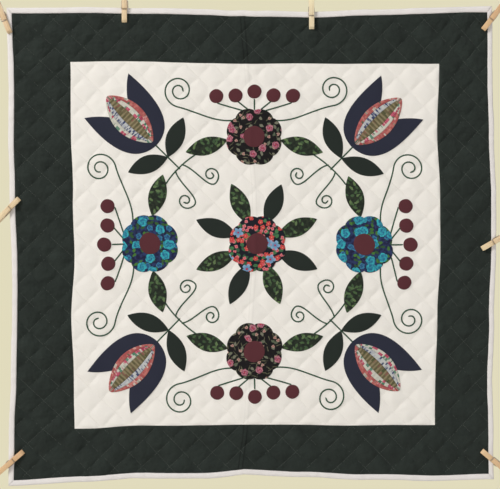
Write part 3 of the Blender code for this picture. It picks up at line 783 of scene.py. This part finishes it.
material, tree, surface, place, colour = start_print("turquoise_rose_print", (0.013, 0.014, 0.050), (0.026, 0.042, 0.125))
colour = leaf_layer(tree, place, colour, 8, 9, 5.0, 0.62, (0.065, 0.19, 0.035), (0.03, 0.085, 0.03), 3.1)
colour = flower_layer(tree, place, colour, 16, 5.5, 0.45, 5, 0.18, 0.55,
                      (0.05, 0.24, 0.40), (0.015, 0.04, 0.14), (0.02, 0.10, 0.20), 57.3)
colour = flower_layer(tree, place, colour, 21, 8.6, 0.70, 5, 0.16, 0.55,
                      (0.045, 0.46, 0.52), (0.018, 0.09, 0.22), (0.03, 0.24, 0.34), 11.3)
turquoise_print = finish_print(material, tree, surface, place, colour)

material, tree, surface, place, colour = start_print(
    "pink_rose_print", (0.0075, 0.0065, 0.008), (0.011, 0.010, 0.010), turn=0.6)
colour = leaf_layer(tree, place, colour, 9, 14, 1.4, 0.60, (0.11, 0.12, 0.07), (0.15, 0.14, 0.09), 71.9)
colour = leaf_layer(tree, place, colour, 10, 9, 5.0, 0.45, (0.085, 0.11, 0.07), (0.19, 0.19, 0.14), 3.1)
colour = flower_layer(tree, place, colour, 13, 3.0, 0.45, 3, 0.30, 0.3,
                      (0.50, 0.38, 0.30), (0.34, 0.12, 0.12), (0.30, 0.10, 0.10), 57.3)
colour = flower_layer(tree, place, colour, 18, 6.6, 0.36, 5, 0.16, 0.7,
                      (0.50, 0.22, 0.26), (0.24, 0.035, 0.09), (0.46, 0.04, 0.07), 11.3)
pink_print = finish_print(material, tree, surface, place, colour)

material, tree, surface, place, colour = start_print(
    "small_posy_print", (0.008, 0.010, 0.018), (0.010, 0.013, 0.020), turn=0.3)
colour = leaf_layer(tree, place, colour, 10, 10, 6.5, 0.55, (0.06, 0.19, 0.075), (0.035, 0.10, 0.055), 3.1)
colour = flower_layer(tree, place, colour, 8, 3.3, 0.45, 4, 0.2, 0.3,
                      (0.68, 0.24, 0.28), (0.62, 0.09, 0.10), (0.40, 0.02, 0.05), 57.3)
colour = flower_layer(tree, place, colour, 11, 4.8, 0.50, 5, 0.3, 0.5,
                      (0.66, 0.10, 0.08), (0.50, 0.035, 0.055), (0.70, 0.30, 0.16), 31.7)
colour = flower_layer(tree, place, colour, 26, 9.0, 0.50, 5, 0.42, 0.1,
                      (0.24, 0.42, 0.60), (0.12, 0.25, 0.45), (0.45, 0.015, 0.05), 11.3)
posy_print = finish_print(material, tree, surface, place, colour)

material, tree, surface, place, colour = start_print(
    "leafy_print", (0.015, 0.021, 0.015), (0.026, 0.036, 0.022), turn=0.9)
colour = leaf_layer(tree, place, colour, 8, 8, 4.5, 0.50, (0.045, 0.085, 0.04), (0.06, 0.11, 0.05), 57.3)
colour = leaf_layer(tree, place, colour, 9, 10, 4.2, 0.50, (0.13, 0.20, 0.085), (0.065, 0.12, 0.05), 3.1)
leafy_print = finish_print(material, tree, surface, place, colour)

leaf_cotton = plain_cotton("leaf_green_cotton", (0.017, 0.024, 0.020), cast=0.12)
burgundy_cotton = plain_cotton("burgundy_cotton", (0.098, 0.026, 0.033), cast=0.08)
navy_cotton = plain_cotton("navy_cotton", (0.023, 0.026, 0.046), cast=0.10)


# The sewn-on pieces: thin cotton with its raw edge turned under, so the rim is rounded and
# the piece is a little fuller in its middle. Each lies on what is under it.
SHEET_THICKNESS, TURNED_EDGE = 1.0, 1.3
RIM_STEPS = (0.0, 0.1, 0.3, 0.65, 1.3, 2.4)
INNER_STEPS = (0.2, 0.4, 0.6, 0.8, 1.0)


def sewn_surface(shape, field, plump=0.35):
    """A closed sheet between a rim and its inner line. Its height is a quarter circle at the
    turned edge, then a slow swell, over the field that it lies on."""
    rim, spine = shape
    reach = np.maximum(np.hypot(*(spine - rim).T), 1e-6)
    edge = [np.minimum(step / reach, 1) for step in RIM_STEPS]
    share = np.stack(edge + [edge[-1] + (1 - edge[-1]) * step for step in INNER_STEPS])
    flat = rim + (spine - rim) * share[..., None]
    depth = share * reach
    turned_under = np.sqrt(1 - (1 - np.clip(depth / TURNED_EDGE, 0, 1)) ** 2)
    swell = plump * (1 - np.exp(-depth / 7))
    rise = SHEET_THICKNESS * turned_under + swell
    under = read_field(field, flat[..., 0], flat[..., 1])
    top = hung(flat[..., 0], flat[..., 1], under + rise)
    bottom = hung(flat[-1, :, 0], flat[-1, :, 1], under[-1] + 0.02)
    rings, steps = share.shape
    index = np.arange((rings + 1) * steps).reshape(rings + 1, steps)
    lower, upper = index[:rings - 1], index[1:rings]
    pairs = [(lower, upper), (index[rings:], index[:1])]
    faces = [np.stack((low, np.roll(low, -1, 1), np.roll(high, -1, 1), high), -1).reshape(-1, 4)
             for low, high in pairs]
    points = np.concatenate((top.reshape(-1, 3), bottom))
    flats = np.concatenate((flat.reshape(-1, 2), flat[-1]))
    return points, np.concatenate(faces), flats


def sewn_piece(name, node, slot, material, shape, field, **form):
    points, faces, flat = sewn_surface(shape, field, **form)
    piece = tidied(add_piece(name, points, faces, flat, [material]))
    if node:
        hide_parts(node)
    return piece


for name, shape in low_leaves.items():
    number = int(name.rstrip("ab")[-1])
    printed = name.startswith("wreath") or (name.startswith("centre") and number % 2)
    material = leafy_print if printed else leaf_cotton
    sewn_piece("sewn_" + name, name, "leaf_green", material, shape, ground_field)
for name, shape in tulips.items():
    sewn_piece("sewn_" + name, name, "navy", navy_cotton, shape, ground_field)
for name, shape in roses.items():
    material = {"c": posy_print, "1": turquoise_print, "3": turquoise_print}.get(
        name[0] if name[0] == "c" else name[-1], pink_print)
    sewn_piece(
        f"sewn_{name}_petals", name + "_petals", "rose_print", material, shape, upper_field, plump=0.8)
for name, shape in hearts.items():
    sewn_piece(
        f"sewn_{name}_heart", name + "_heart", "burgundy", burgundy_cotton, shape, heart_field, plump=0.6)
for name, shape in berries.items():
    sewn_piece(
        "sewn_" + name, None, "burgundy", burgundy_cotton, shape, ground_field, plump=0.6)


# The tulips' cups: patchwork, five lengthwise strips of different prints sewn edge to edge
# and cut to one pointed oval, with a ditch at each seam: coral at the edges, a navy sprig
# print and a rosy one beside the ribbed olive strip in the middle.
CUP_SEAMS = (-1.0, -0.66, -0.3, 0.3, 0.66, 1.0)
material, tree, surface, place, colour = start_print("coral_patch_print", (0.36, 0.085, 0.085), (0.50, 0.17, 0.15))
colour = leaf_layer(tree, place, colour, 9, 9, 3.5, 0.5, (0.62, 0.55, 0.48), (0.10, 0.12, 0.08), 3.1)
colour = flower_layer(tree, place, colour, 10, 3.4, 0.4, 5, 0.3, 0.4,
                      (0.66, 0.45, 0.40), (0.42, 0.06, 0.10), (0.10, 0.02, 0.03), 31.7)
coral_print = finish_print(material, tree, surface, place, colour)

material, tree, surface, place, colour = start_print("navy_sprig_print", (0.52, 0.53, 0.52), (0.40, 0.42, 0.46))
colour = flower_layer(tree, place, colour, 5, 2.0, 0.85, 4, 0.4, 0.3,
                      (0.035, 0.045, 0.12), (0.05, 0.07, 0.16), (0.5, 0.5, 0.5), 31.7)
sprig_print = finish_print(material, tree, surface, place, colour)

material, tree, surface, place, colour = start_print("pale_rose_print", (0.60, 0.58, 0.51), (0.50, 0.50, 0.44))
colour = leaf_layer(tree, place, colour, 9, 9, 5.0, 0.6, (0.045, 0.17, 0.10), (0.12, 0.24, 0.17), 3.1)
colour = flower_layer(tree, place, colour, 13, 5.5, 0.7, 5, 0.2, 0.6,
                      (0.56, 0.13, 0.19), (0.30, 0.03, 0.07), (0.62, 0.30, 0.30), 11.3)
rosy_print = finish_print(material, tree, surface, place, colour)

material, tree, surface, place, colour = start_print("olive_rib_print", (0.105, 0.095, 0.045), (0.15, 0.12, 0.065))
rib_place = add_node(tree, "SeparateXYZ", {0: place}).outputs[1]
ribs = ramped(tree, maths(tree, "SINE", maths(tree, "MULTIPLY", rib_place, 0.95)), -0.4, 0.8)
colour = mixed(tree, ribs, colour, (0.25, 0.21, 0.12))
colour = leaf_layer(tree, place, colour, 9, 11, 3.0, 0.5, (0.05, 0.085, 0.035), (0.24, 0.10, 0.08), 3.1)
olive_print = finish_print(material, tree, surface, place, colour)
CUP_PRINTS = (coral_print, sprig_print, olive_print, rosy_print)
CUP_ORDER = ((0, 1, 2, 3, 0), (3, 1, 2, 3, 0))


def cup_strip(left, right, steps=44):
    """The part of the cup's oval between two shares of its half width, round its middle line."""
    along = (1 - np.cos(np.linspace(0.14, np.pi - 0.14, steps))) / 2
    side = CUP_WIDTH / 2 * np.sin(np.pi * along) ** 0.7
    rising = np.stack((right * side, along * CUP_LENGTH), -1)
    falling = np.stack((left * side, along * CUP_LENGTH), -1)[::-1]
    rim = np.concatenate((rising, falling))
    middle = (left + right) / 2 * np.concatenate((side, side[::-1]))
    spine = np.stack((middle, np.clip(rim[:, 1], 0.08 * CUP_LENGTH, 0.92 * CUP_LENGTH)), -1)
    return rim, spine


for number, (name, place) in enumerate(cups.items()):
    points, faces, flats, prints = [], [], [], []
    for strip, (left, right) in enumerate(zip(CUP_SEAMS, CUP_SEAMS[1:])):
        cut = cup_strip(left, right)
        more_points, more_faces, _ = sewn_surface(turned(cut, *place), upper_field)
        reach = np.concatenate([cut[0]] * (len(more_points) // len(cut[0])))
        faces.append(more_faces + sum(len(part) for part in points))
        points.append(more_points)
        flats.append(reach + (83 * strip, 131 * number))
        prints.append(np.full(len(more_faces), CUP_ORDER[number % 2][strip]))
    cup = tidied(add_piece("pieced_" + name, np.concatenate(points), np.concatenate(faces),
                           np.concatenate(flats), CUP_PRINTS, np.concatenate(prints)))
    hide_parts(name)


# The vine, stalks and tendrils: stem stitch in green floss, each slanting stitch starting
# beside the middle of the one before, so the line looks like a thin rope.
FLOSS_STEP, FLOSS_LENGTH, FLOSS_WIDTH = 2.9, 6.4, 2.4


def even_steps(path, step):
    """Places at even distances along a path of many short straight pieces."""
    lengths = np.concatenate(([0], np.cumsum(np.hypot(*np.diff(path, axis=0).T))))
    marks = np.arange(0, lengths[-1], step)
    return np.stack((np.interp(marks, lengths, path[:, 0]), np.interp(marks, lengths, path[:, 1])), -1)


def curl(start, heading, centre, radius, turns):
    """A cubic lead-in from a start and heading to the bottom of a spiral, then the spiral,
    winding inwards to a fifth of its radius."""
    t = np.linspace(0, 1, 300)[:, None]
    angle = np.radians(-90) + 2 * np.pi * turns * t
    reach = radius * (1 - 0.8 * t ** 0.8)
    spiral = np.array(centre) + reach * np.hstack((np.cos(angle), np.sin(angle)))
    start, end = np.array(start, float), spiral[0]
    away = np.hypot(*(end - start)) * 1.1
    leave = away * np.array((np.cos(np.radians(heading)), np.sin(np.radians(heading))))
    arrive = away * (spiral[1] - spiral[0]) / np.hypot(*(spiral[1] - spiral[0]))
    lead = ((2 * t ** 3 - 3 * t ** 2 + 1) * start + (t ** 3 - 2 * t ** 2 + t) * leave
            + (3 * t ** 2 - 2 * t ** 3) * end + (t ** 3 - t ** 2) * arrive)
    return np.concatenate((lead, spiral[1:]))


vine_lines = [polar(WREATH_RADIUS, np.linspace(0, 360, 900))]
hand = np.random.default_rng(12)
for number in range(4):
    turn = 90 * number
    bud = turn + 45
    vine_lines.append(np.linspace(polar(WREATH_RADIUS, bud), polar(TULIP_START + 4, bud), 60))
    for side in (1, -1):
        shake = hand.uniform(-2.5, 2.5, 4)
        outer = curl((28, 218), -12, (133 + shake[0], 270 + shake[1]), 29, 1.75)
        inner = curl((9, WREATH_RADIUS - 1), 300, (33 + shake[2], 141 + shake[3]), 15, 1.3)
        vine_lines += turned((outer * (side, 1),), polar(0, 0), turn)
        vine_lines += turned((inner * (side, 1),), polar(0, 0), bud)
    for step in range(-2, 3):
        root = polar(WREATH_RADIUS + 44, turn + step * 1.5)
        tip = polar(BERRY_ARC - BERRY_RADIUS - 1, turn + step * BERRY_STEP)
        vine_lines.append(np.linspace(root, tip, 40))
bare_ground = covered([*ground_shapes, *upper_shapes], -1.0)
floss_starts, floss_ends = [], []
for line in vine_lines:
    spots = even_steps(line, FLOSS_STEP)
    ahead = np.gradient(spots, axis=0)
    ahead = ahead / np.hypot(*ahead.T)[:, None]
    beside = ahead[:, ::-1] * (-1, 1) * 0.4
    begin, end = spots - ahead * FLOSS_LENGTH / 2 - beside, spots + ahead * FLOSS_LENGTH / 2 + beside
    clear = read_field(bare_ground, *spots.T) < 0.5
    for spot, ends in ((begin, floss_starts), (end, floss_ends)):
        height = read_field(ground_field, *spot.T) + 0.25
        ends.append(hung(*spot.T, height)[clear])
floss = plain_cotton("green_floss", (0.032, 0.088, 0.050), thread=0.35, cast=0.16)
stem_stitches = thread_stitches(
    "stem_stitched_vine", np.concatenate(floss_starts), np.concatenate(floss_ends),
    FLOSS_WIDTH, 0.95, floss,
)


# The clothes pegs: two legs of pale beech with a worn satin surface, held shut by a coiled
# steel spring whose arms cross the legs in a shallow groove.
PEG_WIDTH, COIL_PLACE = 9.0, 42.5
PEG_MIDDLE = 2.3
GROOVE_PLACE, GROOVE_FLOOR = 22.9, 8.0
# Columns: distance from the jaw's tip, distance from the middle plane
LEG_OUTLINE = np.array([
    (0.0, 3.05), (38.5, 3.05), (39.5, 2.2), (47.0, 2.0), (80.0, 6.4), (80.0, 8.8), (78.0, 9.8),
    (46.0, 9.3), (24.6, 9.0), (24.0, 8.0), (21.8, 8.0), (21.2, 9.0), (4.0, 8.6), (0.0, 5.6),
])


def peg_points(local, peg):
    """Peg places (along, forward, sideways) in millimetres, set at a peg's tip and turn."""
    _, tip_across, tip_up, turn = peg
    angle = np.radians(turn)
    tail = np.array((np.cos(angle), 0.0, np.sin(angle)))
    forward = np.array((0.0, -1.0, 0.0))
    sideways = np.cross(tail, forward)
    origin = np.array((tip_across, -PEG_MIDDLE, tip_up))
    return (origin + local @ np.stack((tail, forward, sideways))) * MM


def tube(path, radius, sides=8):
    """Circles of points square to a path, joined in a row, with a point closing each end."""
    ahead = np.gradient(path, axis=0)
    ahead = ahead / np.linalg.norm(ahead, axis=1, keepdims=True)
    first = np.cross(ahead, (0.31, 0.52, 0.79))
    first = first / np.linalg.norm(first, axis=1, keepdims=True)
    second = np.cross(ahead, first)
    angle = np.linspace(0, 2 * np.pi, sides, endpoint=False)[:, None]
    ring = radius * (np.cos(angle) * first[:, None] + np.sin(angle) * second[:, None])
    points = np.concatenate(((path[:, None] + ring).reshape(-1, 3), path[:1], path[-1:]))
    index = np.arange(len(path) * sides).reshape(len(path), sides)
    after = np.roll(index, -1, axis=1)
    tips = len(path) * sides
    faces = np.concatenate((
        np.stack((index[:-1], after[:-1], after[1:]), -1).reshape(-1, 3),
        np.stack((index[:-1], after[1:], index[1:]), -1).reshape(-1, 3),
        np.stack((after[0], index[0], np.full(sides, tips)), -1),
        np.stack((index[-1], after[-1], np.full(sides, tips + 1)), -1),
    ))
    return points, faces


def spring_path():
    """One wire: a hook over the front leg, an arm to the coil, three turns and the same again."""
    turns = np.linspace(0, 2 * np.pi * 3.25, 70)
    coil = np.stack((COIL_PLACE + 2.7 * np.cos(turns + 2.2), 2.7 * np.sin(turns + 2.2),
                     np.linspace(-3.4, 3.4, len(turns))), -1)
    side = PEG_WIDTH / 2 + 0.8
    front = [(GROOVE_PLACE, GROOVE_FLOOR + 0.5, side - 1.5), (GROOVE_PLACE, GROOVE_FLOOR + 0.7, 0.0),
             (GROOVE_PLACE, GROOVE_FLOOR + 0.5, 1.0 - side), (GROOVE_PLACE + 0.6, GROOVE_FLOOR - 0.4, -side),
             (GROOVE_PLACE + 9, 5.5, -side), (GROOVE_PLACE + 16, 2.6, -side + 0.4)]
    front = np.array(front)
    back = front[::-1] * (1, -1, -1)
    corners = np.concatenate((front, coil, back))
    lengths = np.concatenate(([0], np.cumsum(np.linalg.norm(np.diff(corners, axis=0), axis=1))))
    marks = np.linspace(0, lengths[-1], 150)
    return np.stack([np.interp(marks, lengths, corners[:, k]) for k in range(3)], -1)


# Each peg's wood, in the order of PEGS: above 0 bleached by the sun, below 0 browned by handling
PEG_PALENESS = (0.4, 1.0, 0.15, -0.8, 0.55, 0.4, -0.8, -0.5)
BLEACHED = (1.14, 1.35, 1.5)


def beech(name, paleness):
    """Wood with long wavy grain lines in two tones, fine pores and a dull satin surface. Its
    tone is multiplied by the bleached wood's to the power of its paleness."""
    material = bpy.data.materials.new(name)
    material.use_nodes = True
    tree = material.node_tree
    surface = tree.nodes["Principled BSDF"]
    surface.inputs["Roughness"].default_value = 0.55
    place = cloth_place(tree)
    stretched = add_node(tree, "Mapping", {"Vector": place, "Scale": (0.05, 1.0, 1.0)}).outputs[0]
    bands = add_node(tree, "TexNoise", {"Vector": stretched, "Scale": 0.9, "Detail": 4.0})
    pores = add_node(tree, "TexNoise", {"Vector": stretched, "Scale": 6.0, "Detail": 2.0})
    tone = mixed(tree, ramped(tree, bands.outputs[0], 0.3, 0.7), (0.74, 0.55, 0.35), (0.60, 0.40, 0.22))
    age = add_node(tree, "TexNoise", {"Vector": place, "Scale": 0.012, "Detail": 0.0})
    tone = mixed(tree, ramped(tree, age.outputs[0], 0.35, 0.65), tone, (0.78, 0.60, 0.36))
    tone = mixed(tree, maths(tree, "MULTIPLY", ramped(tree, pores.outputs[0], 0.58, 0.7), 0.5),
                 tone, (0.38, 0.22, 0.10))
    shift = tuple(share ** paleness for share in BLEACHED)
    aged = add_node(tree, "VectorMath", {0: tone, 1: shift}, operation="MULTIPLY")
    tree.links.new(aged.outputs[0], surface.inputs["Base Color"])
    bump = add_node(tree, "Bump", {"Strength": 0.4, "Distance": 0.0002, "Height": pores.outputs[0]})
    tree.links.new(bump.outputs[0], surface.inputs["Normal"])
    return material


def spring_steel():
    """Drawn steel wire, dulled by handling: metal with a faint rusty bloom in patches."""
    material = bpy.data.materials.new("spring_steel")
    material.use_nodes = True
    tree = material.node_tree
    surface = tree.nodes["Principled BSDF"]
    surface.inputs["Metallic"].default_value = 1.0
    surface.inputs["Roughness"].default_value = 0.42
    place = add_node(tree, "TexCoord").outputs["Object"]
    bloom = add_node(tree, "TexNoise", {"Vector": place, "Scale": 300.0, "Detail": 3.0})
    tone = mixed(tree, ramped(tree, bloom.outputs[0], 0.5, 0.75), (0.40, 0.35, 0.31), (0.26, 0.17, 0.11))
    tree.links.new(tone, surface.inputs["Base Color"])
    return material


steel = spring_steel()
spring_line = spring_path()
for number, peg in enumerate(PEGS):
    count = len(LEG_OUTLINE)
    points, faces, flats = [], [], []
    for side in (1, -1):
        for width in (-PEG_WIDTH / 2, PEG_WIDTH / 2):
            ends = np.full(count, width)
            local = np.stack((LEG_OUTLINE[:, 0], side * LEG_OUTLINE[:, 1], ends), -1)
            points.append(peg_points(local, peg))
            flats.append(np.stack((LEG_OUTLINE[:, 0], width + side * LEG_OUTLINE[:, 1]), -1) + 97 * number)
    mesh = bmesh.new()
    corners = [mesh.verts.new(point) for point in np.concatenate(points)]
    grain = mesh.loops.layers.uv.new("cloth")
    for first in (0, 2 * count):
        ring = np.arange(count)
        outlines = [first + ring, (first + count + ring)[::-1]]
        walls = [(first + k, first + count + k, first + count + (k + 1) % count, first + (k + 1) % count)
                 for k in range(count)]
        for outline in outlines + walls:
            face = mesh.faces.new([corners[int(k)] for k in outline])
            for loop, k in zip(face.loops, outline):
                loop[grain].uv = np.concatenate(flats)[int(k)] * MM
    bmesh.ops.recalc_face_normals(mesh, faces=mesh.faces)
    data = bpy.data.meshes.new(peg[0] + "_legs")
    mesh.to_mesh(data)
    mesh.free()
    data.materials.append(beech("beech_of_" + peg[0], PEG_PALENESS[number]))
    legs = bpy.data.objects.new(peg[0] + "_legs", data)
    bpy.context.scene.collection.objects.link(legs)
    rounding = legs.modifiers.new("worn_edges", "BEVEL")
    rounding.width = 0.0005
    rounding.segments = 2
    data.shade_smooth()
    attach(legs, "root")
    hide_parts(peg[0])
    wire, wire_faces = tube(spring_line, 0.58)
    spring = tidied(add_piece(peg[0] + "_spring", peg_points(wire, peg), wire_faces, wire[:, :2], [steel]))


# The studio: a plain pale floor well below, a soft key light from the upper left that
# skims the quilting, and a pale cream room. The camera faces the hanging squarely.
FLOOR_HEIGHT = -1.9
PIXEL_SIZE, IMAGE_WIDTH = 1.75, 500
VIEW_ACROSS, VIEW_UP, VIEW_DISTANCE = -3.3, -411.5, 2.2
floor_mesh = bpy.data.meshes.new("floor")
floor_mesh.from_pydata([(-4, -4, FLOOR_HEIGHT), (4, -4, FLOOR_HEIGHT), (4, 4, FLOOR_HEIGHT),
                        (-4, 4, FLOOR_HEIGHT)], [], [(0, 1, 2, 3)])
floor = bpy.data.objects.new("floor", floor_mesh)
bpy.context.scene.collection.objects.link(floor)
floor_paint = bpy.data.materials.new("pale_floor")
floor_paint.use_nodes = True
floor_paint.node_tree.nodes["Principled BSDF"].inputs["Base Color"].default_value = (0.62, 0.60, 0.55, 1)
floor_paint.node_tree.nodes["Principled BSDF"].inputs["Roughness"].default_value = 0.8
floor_mesh.materials.append(floor_paint)

room = bpy.data.worlds.new("cream_room")
room.use_nodes = True
room_tree = room.node_tree
seen = add_node(room_tree, "Background", {"Color": (0.755, 0.708, 0.508, 1.0), "Strength": 1.0})
ambient = add_node(room_tree, "Background", {"Color": (1.0, 0.98, 0.94, 1.0), "Strength": 0.42})
ray = add_node(room_tree, "LightPath")
shown = add_node(room_tree, "MixShader", {0: ray.outputs["Is Camera Ray"], 1: ambient.outputs[0],
                                          2: seen.outputs[0]})
room_tree.links.new(shown.outputs[0], room_tree.nodes["World Output"].inputs[0])
bpy.context.scene.world = room


def add_light(name, place, target, size, watts, colour):
    """A soft square light at a place, turned to face a target."""
    data = bpy.data.lights.new(name, "AREA")
    data.shape = "SQUARE"
    data.size = size
    data.energy = watts
    data.color = colour
    lamp = bpy.data.objects.new(name, data)
    bpy.context.scene.collection.objects.link(lamp)
    lamp.location = place
    aim = Vector(target) - Vector(place)
    lamp.rotation_euler = aim.to_track_quat("-Z", "Y").to_euler()


CENTRE = (0.0, 0.0, PANEL_MIDDLE * MM)
add_light("key", (-3.4, -3.4, 2.7), CENTRE, 1.4, 222, (1.0, 0.97, 0.94))
add_light("fill", (1.2, -2.8, -2.0), CENTRE, 1.6, 42, (0.97, 0.98, 1.0))
add_light("back_fill", (0.6, 2.4, 0.8), CENTRE, 2.0, 45, (1.0, 0.98, 0.95))

camera_data = bpy.data.cameras.new("camera")
camera_data.sensor_width = 36.0
camera_data.lens = camera_data.sensor_width * VIEW_DISTANCE / (IMAGE_WIDTH * PIXEL_SIZE * MM)
camera = bpy.data.objects.new("camera", camera_data)
bpy.context.scene.collection.objects.link(camera)
camera.location = (VIEW_ACROSS * MM, -VIEW_DISTANCE, VIEW_UP * MM)
camera.rotation_euler = (np.pi / 2, 0.0, 0.0)
bpy.context.scene.camera = camera
bpy.context.scene.view_settings.view_transform = "Standard"
